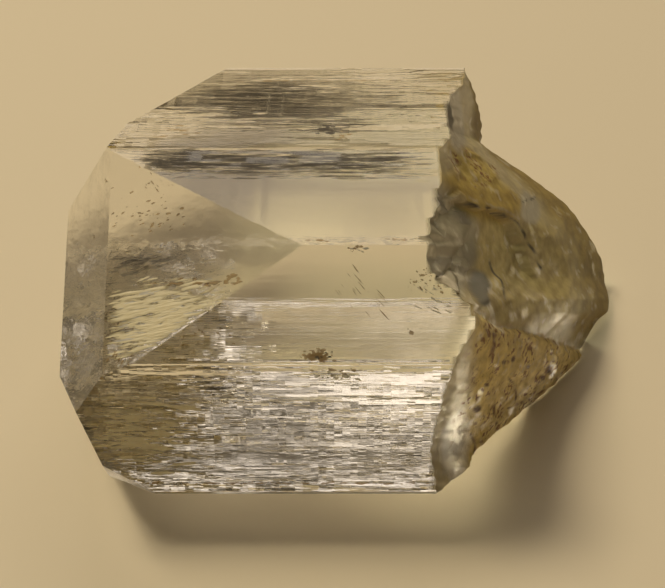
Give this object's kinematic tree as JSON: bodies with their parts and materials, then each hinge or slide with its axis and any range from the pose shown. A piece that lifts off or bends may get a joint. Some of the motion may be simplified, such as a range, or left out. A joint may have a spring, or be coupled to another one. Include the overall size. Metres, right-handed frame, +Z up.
{
  "type": "topaz crystal",
  "caption": "Clear pale prismatic crystal with a wedge-shaped natural end, striated side faces and a rough, stained broken base.",
  "frame": {"origin": "middle of the bounding box in X and Y, on the surface that the stone rests on", "axes": "X along the crystal's long c axis, natural end at -X and broken base at +X; -Y is the front; +Z up"},
  "size_m": [0.0418, 0.0346, 0.0217],
  "materials": {
    "topaz": "clear pale straw-yellow crystal with glossy, finely striated faces; iron-stained, crusted break"
  },
  "bodies": {
    "root": {"topaz_crystal": "topaz"}
  },
  "joints": []
}
